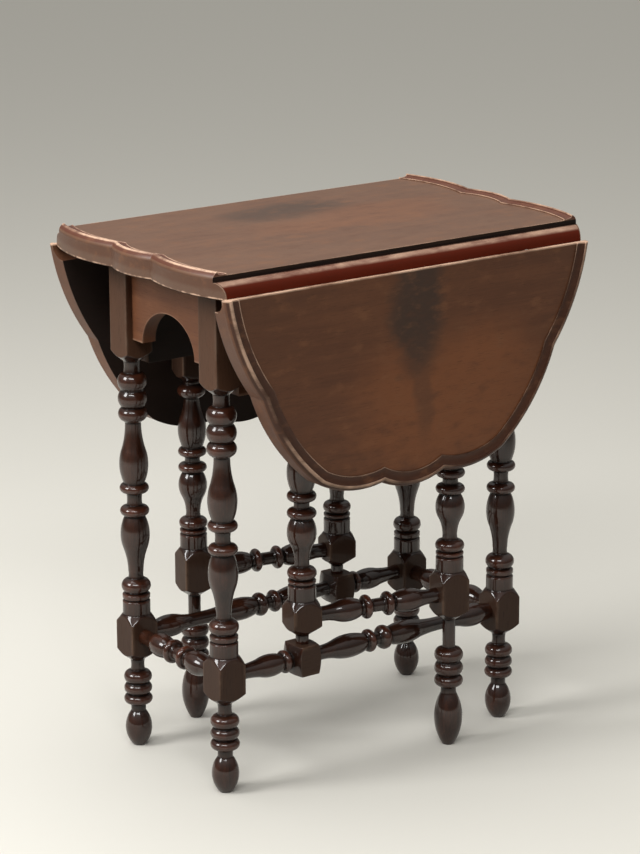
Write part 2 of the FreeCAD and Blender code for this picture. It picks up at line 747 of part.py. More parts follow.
def build_leaf():
    """The front leaf, cut for its two hinges, hanging."""
    gains = [tool for hinge_x in hinge_places().values() for tool in leaf_gains(hinge_x)]
    return hanging(raised_leaf_board().cut(gains).removeSplitter())


def build_front_pieces():
    """Pieces of the front half that have a twin on the back half, by name without the side."""
    pieces = {
        "leaf": build_leaf(),
        "side_apron": side_apron(),
        "long_stretcher": long_stretcher(),
        "pivot_post": on_gate(pivot_post()),
        "gate_leg": on_gate(gate_leg()),
        "gate_lower_rail": on_gate(gate_lower_rail()),
        "gate_upper_rail": on_gate(gate_upper_rail()),
    }
    leaf_screws = []
    for side, hinge_x in hinge_places().items():
        pieces["hinge_top_plate_" + side] = hinge_top_plate(hinge_x)
        pieces["hinge_pin_" + side] = hinge_pin(hinge_x)
        pieces["hinge_leaf_plate_" + side] = hanging(hinge_leaf_plate(hinge_x))
        places = hinge_screw_places(hinge_x, leaf_screw_line())
        leaf_screws += placed_screws(places, hinge_screw_length, 0)
    pieces["hinge_leaf_screws"] = hanging(Part.makeCompound(leaf_screws))
    return pieces


def build_nodes():
    """Every piece of the table by its node's name."""
    nodes = {"top_board": build_top()}
    for end, end_x in (("left", -1), ("right", 1)):
        for side, side_y in (("front", -1), ("back", 1)):
            nodes["leg_%s_%s" % (side, end)] = corner_leg(end_x, side_y)
    for name, piece in build_front_pieces().items():
        nodes[name + "_front"] = piece
        nodes[name + "_back"] = half_turned(piece)
    for name, piece in (("end_apron", end_apron()), ("end_stretcher", end_stretcher())):
        nodes[name + "_left"] = piece
        nodes[name + "_right"] = half_turned(piece)
    top_screws = []
    for name, (middle, along) in glue_block_places().items():
        nodes["glue_block_" + name] = glue_block(middle, along)
        top_screws += placed_screws(top_screw_places(middle, along), top_screw_length, 0)
    nodes["top_screws"] = Part.makeCompound(top_screws)
    hinge_screws = []
    for hinge_x in hinge_places().values():
        places = hinge_screw_places(hinge_x, top_screw_line())
        hinge_screws += placed_screws(places, hinge_screw_length, 0)
    hinge_screws += [half_turned(piece) for piece in hinge_screws]
    nodes["hinge_top_screws"] = Part.makeCompound(hinge_screws)
    return nodes


os.makedirs("parts", exist_ok=True)
for node_name, shape in build_nodes().items():
    shape.exportStep("parts/%s.step" % node_name)
    print(node_name, len(shape.Solids), shape.isValid(), round(shape.Volume))
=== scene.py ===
"""Gate-leg side table with two hanging leaves: dark stained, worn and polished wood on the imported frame."""

import json
import math

import bpy
import numpy as np
from mathutils import Matrix, Vector

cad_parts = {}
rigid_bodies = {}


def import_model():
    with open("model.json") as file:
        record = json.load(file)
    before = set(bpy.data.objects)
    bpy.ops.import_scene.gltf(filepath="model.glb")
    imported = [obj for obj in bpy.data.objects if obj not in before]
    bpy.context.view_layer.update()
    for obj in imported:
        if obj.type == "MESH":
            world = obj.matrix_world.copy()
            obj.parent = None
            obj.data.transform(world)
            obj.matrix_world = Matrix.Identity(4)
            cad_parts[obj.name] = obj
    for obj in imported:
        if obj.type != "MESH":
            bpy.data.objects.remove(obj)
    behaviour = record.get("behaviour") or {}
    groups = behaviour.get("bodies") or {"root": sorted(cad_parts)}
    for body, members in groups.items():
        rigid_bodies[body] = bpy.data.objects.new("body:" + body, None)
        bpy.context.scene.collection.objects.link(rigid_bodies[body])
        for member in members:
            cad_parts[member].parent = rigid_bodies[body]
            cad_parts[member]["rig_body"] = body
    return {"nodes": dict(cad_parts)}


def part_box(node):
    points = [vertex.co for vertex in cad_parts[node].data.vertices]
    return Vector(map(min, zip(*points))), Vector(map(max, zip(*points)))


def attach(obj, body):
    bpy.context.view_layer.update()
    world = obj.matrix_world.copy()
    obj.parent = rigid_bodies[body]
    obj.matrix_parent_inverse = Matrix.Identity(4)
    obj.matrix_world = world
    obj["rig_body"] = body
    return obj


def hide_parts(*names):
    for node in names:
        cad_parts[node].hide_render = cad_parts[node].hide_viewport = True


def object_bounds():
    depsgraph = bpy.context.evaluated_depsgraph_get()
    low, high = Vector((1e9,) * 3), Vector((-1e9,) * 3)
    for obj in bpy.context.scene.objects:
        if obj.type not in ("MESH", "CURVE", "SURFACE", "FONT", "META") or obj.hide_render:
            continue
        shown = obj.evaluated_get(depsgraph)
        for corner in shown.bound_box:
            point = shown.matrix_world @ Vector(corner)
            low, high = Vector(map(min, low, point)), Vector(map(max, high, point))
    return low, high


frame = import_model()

cad_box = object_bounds()

# Heights and places read from the frame, in metres
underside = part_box("leg_front_left")[1].z
side_apron_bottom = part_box("side_apron_front")[0].z
end_apron_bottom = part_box("end_apron_left")[0].z
stretcher_height = sum(corner.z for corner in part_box("end_stretcher_left")) / 2
gate_rail_height = sum(corner.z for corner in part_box("gate_lower_rail_front")) / 2
gate_rail_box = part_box("gate_upper_rail_front")
leg_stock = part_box("leg_front_left")[1].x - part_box("leg_front_left")[0].x
half_stock = leg_stock / 2
hinge_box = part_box("hinge_pin_left_back")
joint_line = (hinge_box[0].y + hinge_box[1].y) / 2
pin_height = (hinge_box[0].z + hinge_box[1].z) / 2

# Turned sections, in metres
leg_turned_radius = 0.0166
rail_turned_radius = 0.014
foot_height = 0.103
lower_block_height = 0.055
block_shoulder = 0.013
head_lap = 0.004
corner_share = 0.75
corner_radius = leg_stock * corner_share
pivot_block_length = 0.034
pivot_neck_height = 0.0095
pivot_block_height = 0.041
pivot_head_share = 0.97
gate_gap = 0.0005
gate_foot_gap = 0.003
gate_block_height = 0.058
gate_head_drop = 0.042
gate_head_rebate = 0.009
pintle_radius = 0.005
pintle_stub = 0.0004

# Boards, in metres: the top's field lies below the crest of its rim, and the ovolo is drawn from the pin
rim_rise = 0.0045
ovolo_rise = 0.0155
field_height = cad_box[1].z - rim_rise
ovolo_top = pin_height + ovolo_rise
ovolo_end = 0.2412
ovolo_end_slope = 0.31
leaf_face = joint_line + field_height - pin_height
apron_thickness = 0.018
arch_rise = 0.042
arch_margin = 0.0194
gate_rail_thickness = 0.018

# Eased edges: how far corners of turned and planed pieces are rounded, and the angle that counts as sharp
turned_ease = 0.0004
planed_ease = 0.0007
sharp_angle = math.radians(40)

# Grids of turned pieces: points on an arc and round, step of the rows, and how much closer these lie at bends
arc_points = 16
least_chord = 1e-7
straight_rise = 1e-6
turned_columns = 80
turned_step = 0.0016
corner_crowding = 0.18
crossing_middle = 1.2
crossing_half = 0.26
crossing_pace = 1.5
bend_pace = 0.003

# Square stock: power of its round-cornered section and widths of the soft change from round to square
square_power = 30
square_blur = 0.00025
face_blend = 0.001
least_sine = 0.05

# Wear of turned pieces: relief and bend that count in full, and how far out the square's worn corners start
relief_width = 0.005
swell_relief = 0.004
sunk_relief = 0.0035
bend_reach = 0.0009
corner_from = 1.26
corner_span = 0.1

# Grids of boards: points along arch, flanks, side aprons and gate rails, round corners, on faces and edges
arch_points = 41
flank_points = 5
side_points = 13
rail_points = 9
corner_points = 5
face_shares = np.array([0.03, 0.5, 0.97])
edge_shares = np.array([0.38, 0.0, -0.38])
corner_outside = 0.4
face_outside = 0.45

# Marks on top, leaves and heads: where each starts and is full, in metres from the level it is measured from
rim_start = (0.0002, 0.0006)
top_crest = (0.0029, 0.0041)
leaf_crest = (0.0026, 0.0040)
ovolo_start = (0.0001, 0.0004)
ovolo_stop = (-0.0004, 0.0)
ovolo_rubbed_highlight = (0.0104, 0.0134)
fillet_side = (-0.0002, -0.0001)
fillet_low = (-0.0006, 0.0)
fillet_high = (-0.0008, -0.0002)
bare_under = (0.0004, 0.0008)
end_high = (-0.003, -0.001)
end_floor_reflection = (0.007, 0.012)
end_scuffed = (0.0014, 0.0026)
cove_depth = (-0.0065, -0.005)
cove_low = (-0.0162, -0.0150)
lip_low = (-0.0022, -0.0012)
back_depth = (-0.0014, -0.0008)
head_start = (-0.004, 0.012)

# Clouded spots: middle and half sizes, on the top as X and Y, on a leaf as run and height
top_smoke = ((0.01, 0.078), (0.10, 0.05))
top_glow = ((0.05, 0.0), (0.17, 0.07))
leaf_smoke = ((0.008, 0.535), (0.046, 0.095))
leaf_smoke_tail = ((0.014, 0.455), (0.018, 0.085))
leaf_glow = ((0.045, 0.425), (0.17, 0.10))
leaf_clear = ((0.02, 0.47), (0.27, 0.20))

# Reach of the rays that find worn arrises and hollows darkened with dirt and painted shade, and depth of the
# grain
arris_reach = 0.0018
hollow_reach = 0.006
grain_depth = 0.0006
tarnish_depth = 0.0003

# Grain: swells in a metre across and along it, then detail and roughness of the noise
figure_grain = (70, 5, 5.0, 0.6)
fibre_grain = (620, 14, 3.0, 0.65)
pore_grain = (1500, 70, 2.0, 0.5)
cloud_grain = (13, 9, 3.0, 0.5)
mottle_grain = (75, 38, 4.0, 0.6)
tarnish_grain = (260, 260, 5.0, 0.6)

# Each lot of wood takes its grain from another place: the shift for one lot and the first lot of each kind
turned_lot_shift = np.array([0.37, 0.61, 0.83])
board_lot_shift = np.array([0.41, 0.73, 0.29])
long_stretcher_lot = 5
end_stretcher_lot = 8
gate_leg_lot = 11
pivot_post_lot = 14
lower_rail_lot = 17
upper_rail_lot = 20
end_apron_lot = 23
side_apron_lot = 26

# Turned profiles: share of the length, share of the turned radius, rise of the arc from the row before
foot_shares = (
    (0.0, 0.42, 0.0), (0.40, 0.50, 0.45), (0.475, 0.52, 0.0), (0.485, 0.68, 0.0),
    (0.595, 0.70, 0.29), (0.605, 0.74, 0.0), (0.725, 0.74, 0.22), (0.735, 0.74, 0.0),
    (0.86, 0.74, 0.22), (0.875, 0.50, 0.0), (1.0, 0.50, -0.05),
)
baluster_shares = (
    (0.0, 0.94, 0.0), (0.051, 0.94, 0.0), (0.057, 0.80, 0.0), (0.063, 0.94, 0.0),
    (0.078, 0.94, 0.0), (0.085, 0.72, 0.0), (0.137, 0.72, 0.28), (0.142, 0.53, 0.0),
    (0.17, 0.52, -0.03), (0.255, 0.78, -0.06), (0.39, 0.70, 0.25), (0.393, 0.72, 0.0),
    (0.43, 0.72, 0.27), (0.434, 0.54, 0.0), (0.48, 0.54, -0.04), (0.483, 0.72, 0.0),
    (0.52, 0.72, 0.27), (0.523, 0.72, 0.0), (0.66, 0.78, 0.23), (0.76, 0.54, -0.06),
    (0.768, 0.72, 0.0), (0.82, 0.72, 0.27), (0.823, 0.78, 0.0), (0.885, 0.78, 0.21),
    (0.89, 0.78, 0.0), (0.95, 0.78, 0.21), (0.955, 0.56, 0.0), (1.0, 0.56, -0.03),
)
gate_foot_shares = (
    (0.0, 0.40, 0.0), (0.413, 0.54, 0.50), (0.46, 0.54, -0.02), (0.47, 0.72, 0.0),
    (0.555, 0.72, 0.27), (0.565, 0.78, 0.0), (0.66, 0.78, 0.21), (0.67, 0.78, 0.0),
    (0.765, 0.78, 0.21), (0.78, 0.44, 0.0), (1.0, 0.44, 0.0),
)
gate_baluster_shares = (
    (0.0, 0.94, 0.0), (0.08, 0.94, 0.0), (0.088, 0.80, 0.0), (0.097, 0.94, 0.0),
    (0.11, 0.94, 0.0), (0.118, 0.72, 0.0), (0.18, 0.72, 0.27), (0.187, 0.53, 0.0),
    (0.235, 0.52, -0.03), (0.31, 0.78, -0.05), (0.455, 0.70, 0.25), (0.46, 0.72, 0.0),
    (0.51, 0.72, 0.27), (0.515, 0.54, 0.0), (0.55, 0.54, -0.02), (0.555, 0.72, 0.0),
    (0.605, 0.72, 0.27), (0.61, 0.72, 0.0), (0.80, 0.78, 0.23), (0.90, 0.54, -0.05),
    (0.91, 0.72, 0.0), (0.975, 0.72, 0.27), (0.985, 0.56, 0.0), (1.0, 0.56, 0.0),
)
half_rail_shares = (
    (0.0, 0.64, 0.0), (0.04, 0.60, 0.0), (0.15, 0.74, -0.05), (0.35, 0.72, 0.22),
    (0.362, 0.56, 0.0), (0.38, 0.68, 0.0), (0.44, 0.68, 0.30), (0.455, 0.54, 0.0),
    (0.5, 0.54, 0.0),
)
short_stretcher_shares = (
    (0.0, 0.64, 0.0), (0.08, 0.58, 0.0), (0.40, 0.74, -0.04), (0.80, 0.74, 0.17),
    (0.83, 0.68, 0.0), (0.95, 0.68, 0.25), (1.0, 0.60, 0.0),
)
long_stretcher_shares = (
    (0.0, 0.60, 0.0), (0.03, 0.58, 0.0), (0.10, 0.72, -0.04), (0.27, 0.72, 0.24),
    (0.278, 0.56, 0.0), (0.285, 0.68, 0.0), (0.32, 0.68, 0.26), (0.328, 0.54, 0.0),
    (0.352, 0.54, 0.0), (0.36, 0.68, 0.0), (0.41, 0.68, 0.31), (0.418, 0.72, 0.0),
    (0.58, 0.74, 0.22), (0.70, 0.56, -0.05), (0.76, 0.56, 0.0), (0.83, 0.72, -0.04),
    (0.96, 0.74, 0.20), (1.0, 0.64, 0.0),
)


class Wire:
    """A node socket in a Python expression: each operator adds a Math node to the socket's tree."""

    def __init__(self, tree, socket=None):
        self.tree = tree
        self.socket = socket

    def node(self, kind, settings=None, inputs=None, out=0):
        """Any node: its type, its settings, then the values or wires of its sockets by name or number."""
        made = self.tree.nodes.new("ShaderNode" + kind)
        for key, value in (settings or {}).items():
            setattr(made, key, value)
        for key, value in (inputs or {}).items():
            if isinstance(value, Wire):
                self.tree.links.new(value.socket, made.inputs[key])
            else:
                made.inputs[key].default_value = value
        return Wire(self.tree, made.outputs[out])

    def math(self, operation, *values, clamp=False):
        """A Math node of one operation on values or wires."""
        return self.node("Math", {"operation": operation, "use_clamp": clamp}, dict(enumerate(values)))

    def __add__(self, other):
        return self.math("ADD", self, other)

    def __radd__(self, other):
        return self.math("ADD", other, self)

    def __sub__(self, other):
        return self.math("SUBTRACT", self, other)

    def __rsub__(self, other):
        return self.math("SUBTRACT", other, self)

    def __mul__(self, other):
        return self.math("MULTIPLY", self, other)

    def __rmul__(self, other):
        return self.math("MULTIPLY", other, self)

    def __truediv__(self, other):
        return self.math("DIVIDE", self, other)

    def __rtruediv__(self, other):
        return self.math("DIVIDE", other, self)

    def clamped(self):
        """Kept between 0 and 1."""
        return self.math("ADD", self, 0.0, clamp=True)

    def most(self, other):
        """The greater of two."""
        return self.math("MAXIMUM", self, other)

    def size(self):
        """Without its sign."""
        return self.math("ABSOLUTE", self)

    def ramp(self, low, high):
        """0 below low, 1 above high, with an eased climb between."""
        settings = {"interpolation_type": "SMOOTHSTEP"}
        return self.node("MapRange", settings, {"Value": self, "From Min": low, "From Max": high})

    def past(self, level, mark):
        """A ramp over a mark's start and full places, measured from a level."""
        return self.ramp(level + mark[0], level + mark[1])

    def noise(self, across, along, detail, roughness):
        """Cloudy noise over coordinates scaled across and along a grain that runs in their third part."""
        scaled = self.node("VectorMath", {"operation": "MULTIPLY"}, {0: self, 1: (across, across, along)})
        inputs = {"Vector": scaled, "Scale": 1.0, "Detail": detail, "Roughness": roughness}
        return self.node("TexNoise", None, inputs)


def tone(red, green, blue):
    """A colour written as it looks on a screen, 0 to 255, as the shader's linear values."""
    parts = np.array([red, green, blue]) / 255
    linear = np.where(parts <= 0.04045, parts / 12.92, ((parts + 0.055) / 1.055) ** 2.4)
    return (*linear.tolist(), 1.0)


def blend(factor, first, second):
    """Colour mix of two tones or wires by a factor wire."""
    return factor.node("Mix", {"data_type": "RGBA"}, {0: factor, 6: first, 7: second}, out=2)


def new_finish(name):
    """An empty material: its start wire, its Principled shader node and the material itself."""
    finish = bpy.data.materials.new(name)
    finish.use_nodes = True
    return Wire(finish.node_tree), finish.node_tree.nodes["Principled BSDF"], finish


def connect(wire, shader, socket):
    """Link a wire to a shader's socket."""
    shader.id_data.links.new(wire.socket, shader.inputs[socket])


def grain_marks(place):
    """Figure, fibre, pore, cloud and mottle masks of a wood with its grain along the third coordinate."""
    figure = place.noise(*figure_grain)
    fibre = place.noise(*fibre_grain)
    pores = place.noise(*pore_grain).ramp(0.60, 0.70)
    cloud = place.noise(*cloud_grain)
    mottle = place.noise(*mottle_grain)
    return figure, fibre, pores, cloud, mottle


def stained_wood(name, place_of, tones, gloss, wear_of, shade):
    """Stained and polished wood: the figure blends dark and middle tones, fibres and clouds vary them, pores
    darken, hollows darken with dirt and painted shade, worn edges show the bare wood, and polish is duller
    where the stain is thin. The shade lays the piece's own marks on the colour and says where it is worn,
    hollow and matte."""
    start, shader, finish = new_finish(name)
    place = place_of(start)
    worn, hollow = wear_of(start)
    figure, fibre, pores, cloud, mottle = grain_marks(place)
    colour = blend(figure.ramp(0.30, 0.72), tones["dark"], tones["middle"])
    colour = blend(fibre.ramp(0.45, 0.85) * gloss["fibre"], colour, tones["light"])
    colour = blend(cloud.ramp(0.35, 0.70) * 0.6, colour, tones["stain"])
    colour, worn, hollow, matte = shade(start, colour, cloud, mottle, worn, hollow)
    colour = blend(mottle.ramp(0.50, 0.78) * (1 - matte) * gloss["mottle"], colour, tones["light"])
    colour = blend((1 - mottle).ramp(0.50, 0.78) * (1 - matte) * gloss["mottle"], colour, tones["dark"])
    colour = blend(pores * gloss["pores"], colour, tones["pore"])
    # Hollows are darkened with dirt and painted shade: grooves, crevices and the top's fillet
    colour = blend((hollow * (0.6 + fibre * 0.6)).clamped(), colour, tones["dirt_and_shade"])
    rubbed = (worn * ((cloud + mottle * 1.2 - 0.72) * 2.2 + (fibre - 0.5) * 0.6)).clamped()
    colour = blend(rubbed, colour, tones["worn"])
    connect(colour, shader, "Base Color")
    dull = gloss["rough"] + (cloud + mottle * 0.7 - 0.85) * gloss["uneven"]
    dull = dull + rubbed * 0.12 + hollow * 0.2 + pores * 0.1 + matte * 0.25
    connect(dull.clamped(), shader, "Roughness")
    connect((gloss["coat"] * (1 - matte) * (1 - hollow * 0.8)).clamped(), shader, "Coat Weight")
    height = fibre * 0.6 - pores * 0.8 + figure * 0.5
    bump = height.node("Bump", None, {"Strength": gloss["bump"], "Distance": grain_depth, "Height": height})
    connect(bump, shader, "Normal")
    shader.inputs["Coat Roughness"].default_value = gloss["coat_rough"]
    shader.inputs["Coat IOR"].default_value = gloss["coat_bend"]
    shader.inputs["Specular IOR Level"].default_value = gloss["shine"]
    return finish


def kept_mark(start, name):
    """A mask kept in the piece's mesh."""
    return start.node("Attribute", {"attribute_name": name}, out=2)


def own_grain(start):
    """Grain coordinates kept in the piece's mesh: across, across, along the grain."""
    return start.node("Attribute", {"attribute_name": "grain"}, out=1)


def own_wear(start):
    """Worn and hollow masks kept in the piece's mesh."""
    return kept_mark(start, "worn"), kept_mark(start, "hollow")


def corner_parts(start):
    """The object's own X, Y and Z."""
    corner = start.node("TexCoord", out=3)
    return [corner.node("SeparateXYZ", None, {0: corner}, out=axis) for axis in range(3)]


def board_grain(start):
    """Grain coordinates of the top and leaves, where it runs along X."""
    x, y, z = corner_parts(start)
    return x.node("CombineXYZ", None, {0: y, 1: z, 2: x})


def board_wear(start):
    """Arrises wear where short rays inside the board soon leave it; hollows where rays outside hit it darken
    with dirt and painted shade.
    """
    within = {"samples": 8, "only_local": True, "inside": True}
    around = {"samples": 8, "only_local": True}
    inner = start.node("AmbientOcclusion", within, {"Distance": arris_reach}, out=1)
    outer = start.node("AmbientOcclusion", around, {"Distance": hollow_reach}, out=1)
    return (1 - inner).ramp(0.20, 0.52), (1 - outer).ramp(0.25, 0.8)


def spot(x, y, middle, size):
    """A round-edged spot: 1 at its middle, falling to 0 at an ellipse of the given half sizes."""
    across = (x - middle[0]) / size[0]
    along = (y - middle[1]) / size[1]
    return (1 - (across * across + along * along)).ramp(0.0, 0.9)


def top_shade(start, colour, cloud, mottle, worn, hollow):
    """Fixed top: a painted sheen over the field, a darker and a warmer cloud on the field, a rubbed crest and
    a red hollow on the raised rim, end edges that pale downwards in a painted reflection of the floor, a deep
    red ovolo whose upper part is partly rubbed and partly a painted highlight, a fillet above it painted
    black as dirt and painted shadow, and a bare, dull underside painted near black as bare wood and painted
    shade."""
    x, y, z = corner_parts(start)
    drift = (cloud - 0.5) * 0.12 + (mottle - 0.5) * 0.05
    # Painted sheen: the whole field is paled and greyed as if it reflected the sky
    colour = blend(0.3 + cloud * 0.4, colour, top_tones["painted_sheen"])
    colour = blend(spot(x + drift, y, *top_smoke) * 0.8, colour, top_tones["smoke"])
    colour = blend(spot(x + drift, y + drift, *top_glow) * 0.28, colour, top_tones["glow"])
    side = y.size()
    reach = x.size() + (side - joint_line) * ovolo_end_slope
    edge = side.past(joint_line, ovolo_start) * (1 - reach.past(ovolo_end, ovolo_stop))
    colour = blend(edge, colour, top_tones["ovolo"])
    # The fillet is painted black through the hollow mask, as dirt and painted shadow
    fillet = side.past(joint_line, fillet_side) * z.past(ovolo_top, fillet_low)
    fillet = fillet * (1 - z.past(field_height, fillet_high))
    # The ovolo's upper part is paled: partly rubbed, partly a painted highlight
    rubbed = edge * z.past(pin_height, ovolo_rubbed_highlight) * (1 - fillet) * 0.5
    crest = z.past(field_height, top_crest) * cloud.ramp(0.30, 0.48)
    colour = blend(z.past(field_height, rim_start) * 0.75, colour, top_tones["rim"])
    # The underside is painted near black: bare wood and painted shade
    bare = 1 - z.past(underside, bare_under)
    end = (1 - z.past(field_height, end_high)) * (1 - edge)
    colour = blend(end * 0.8, colour, top_tones["end"])
    # Painted reflection of the floor: the lower part of each end edge is paler
    colour = blend(end * (1 - z.past(underside, end_floor_reflection)), colour, top_tones["end_floor_reflection"])
    colour = blend(bare * 0.94, colour, top_tones["bare"])
    scuffed = end * (1 - z.past(underside, end_scuffed)) * (1 - bare) * mottle.ramp(0.40, 0.56)
    worn = (worn * (1 - fillet) * (1 - bare) * (1 - edge * 0.9)).most(rubbed)
    worn = worn.most(crest.most(scuffed * 0.8))
    matte = bare.most(edge * (1 - rubbed * 2))
    return colour, worn, (hollow * (1 - edge)).most(fillet), matte


def leaf_shade(start, colour, cloud, mottle, worn, hollow):
    """Leaf: a grey smoke mark that narrows downwards from the joint, a warm glow below it, corners darkened
    with painted shade, a rubbed lip and crest, a red hollow along the rim and a dull back painted near black
    as bare wood and painted shade. Both leaves are marked alike, half a turn apart."""
    x, y, z = corner_parts(start)
    turned = x * y.math("SIGN", y) * -1
    out = y.size()
    drift = (cloud - 0.5) * 0.09 + (mottle - 0.5) * 0.045
    smoke = spot(turned + drift * 0.6, z + drift, *leaf_smoke)
    smoke = smoke.most(spot(turned + drift * 0.4, z, *leaf_smoke_tail) * 0.45)
    glow = spot(turned + drift, z + drift, *leaf_glow)
    corners = 1 - spot(turned + drift, z, *leaf_clear)
    # Painted shade: the leaf's corners are darkened
    colour = blend(corners * 0.6, colour, top_tones["shadow"])
    colour = blend(glow * 0.8, colour, top_tones["glow"])
    colour = blend(smoke * 0.9, colour, top_tones["leaf_smoke"])
    handled = 1 - turned.ramp(-0.16, 0.06) * 0.55
    crest = out.past(leaf_face, leaf_crest) * cloud.ramp(0.38, 0.56) * handled
    colour = blend(out.past(leaf_face, rim_start) * 0.85, colour, top_tones["leaf_rim"])
    cove = (1 - out.past(leaf_face, cove_depth)) * z.past(pin_height, cove_low)
    lip = z.past(pin_height, lip_low) * (1 - cove)
    back = 1 - out.past(joint_line, back_depth)
    # The leaf's back is painted near black: bare wood and painted shade
    colour = blend(back * 0.94, colour, top_tones["bare"])
    arris = worn * (1 - back) * (1 - cove) * cloud.ramp(0.36, 0.58) * handled
    return colour, arris.most(lip.most(crest)), hollow, back


def turned_shade(start, colour, cloud, mottle, worn, hollow):
    """Turned pieces: swells are polished by hands, and planed blocks are matte and paler, most on the heads,
    with rubbed corners."""
    planed = kept_mark(start, "bare")
    head = corner_parts(start)[2].past(side_apron_bottom, head_start)
    colour = blend(planed * (0.55 + cloud * 0.5), colour, leg_tones["planed"])
    colour = blend(planed * head * (0.4 + cloud * 0.6), colour, leg_tones["head"])
    colour = blend(planed * worn * mottle.ramp(0.36, 0.60) * 2, colour, leg_tones["corner"])
    matte = (1 - worn) * (1 - planed) * 0.2 + planed * 0.85
    return colour, worn * (1 - planed), hollow, matte


def apron_shade(start, colour, cloud, mottle, worn, hollow):
    """Aprons and gate rails: polished outside, bare and dirty on the inner face, which is also painted near
    black as shade.
    """
    bare = kept_mark(start, "bare")
    return blend(bare * 0.95, colour, apron_tones["bare"]), worn * (1 - bare), hollow, bare


def block_shade(start, colour, cloud, mottle, worn, hollow):
    """Glue blocks: bare wood, darkened by age and painted near black as shade."""
    return blend(0.8 + cloud * 0.2, colour, apron_tones["bare"]), worn * 0.1, hollow, 0.6 + cloud * 0.4


def arc_chain(rows):
    """Points (along, radius) of a profile: each row is joined to the row before by a circular arc whose
    middle stands off the chord by the row's rise, or by a straight line where the rise is zero."""
    rows = np.asarray(rows, float)
    step = np.diff(rows[:, :2], axis=0)
    chord = np.hypot(step[:, 0], step[:, 1])
    real = chord > least_chord
    start, step, chord, rise = rows[:-1, :2][real], step[real], chord[real], rows[1:, 2][real]
    rise = np.where(rise == 0, chord * straight_rise, rise)
    radius = (chord ** 2 / 4 + rise ** 2) / (2 * rise)
    turn = 2 * np.arctan2(2 * np.abs(rise), chord)[:, None] * np.linspace(-1, 1, arc_points)
    forward = 0.5 + np.abs(radius)[:, None] * np.sin(turn) / chord[:, None]
    sideways = rise[:, None] - radius[:, None] * (1 - np.cos(turn))
    normal = np.stack([-step[:, 1], step[:, 0]], axis=1) / chord[:, None]
    points = start[:, None] + step[:, None] * forward[..., None] + normal[:, None] * sideways[..., None]
    return points.reshape(-1, 2)


def lengths(curve):
    """Distance along a curve at each of its points."""
    return np.concatenate([[0.0], np.cumsum(np.hypot(*np.diff(curve, axis=0).T))])


def averaged(values, width):
    """Values at even steps, each averaged with its neighbours under a bell curve of that many steps."""
    reach = int(width * 3)
    bell = np.exp(-0.5 * (np.arange(-reach, reach + 1) / width) ** 2)
    padded = np.pad(values, reach, mode="reflect", reflect_type="odd")
    return np.convolve(padded, bell / bell.sum(), mode="valid")


def softened(points, ease):
    """The same curve at even steps of a third of the ease, its corners rounded by averaging over the ease."""
    length = lengths(points)
    even = np.linspace(0, length[-1], int(length[-1] / ease * 3))
    return np.stack([averaged(np.interp(even, length, points[:, part]), 3.0) for part in (0, 1)], axis=1)


def bends(curve):
    """Turning of an evenly stepped curve per metre: below zero on swells, above zero in hollows."""
    step = np.gradient(curve, axis=0)
    heading = np.unwrap(np.arctan2(step[:, 1], step[:, 0]))
    return np.gradient(heading) / np.hypot(step[:, 0], step[:, 1])


def turned_rows(shares, start, length, radius):
    """Profile rows of one turned section, in metres."""
    return [(start + along * length, wide * radius, rise * radius) for along, wide, rise in shares]


def block_rows(start, length, shoulder, start_neck, end_neck):
    """Profile rows of a square block: cones at both ends that cut its corners to shoulders."""
    return [
        (start, start_neck, 0), (start + shoulder, corner_radius, 0),
        (start + length - shoulder, corner_radius, 0), (start + length, end_neck, 0),
    ]


def mirrored(shares):
    """A symmetric section's rows from those of its first half."""
    pairs = zip(reversed(shares[:-1]), reversed(shares[1:]))
    return tuple(shares) + tuple((1 - before[0], before[1], row[2]) for before, row in pairs)


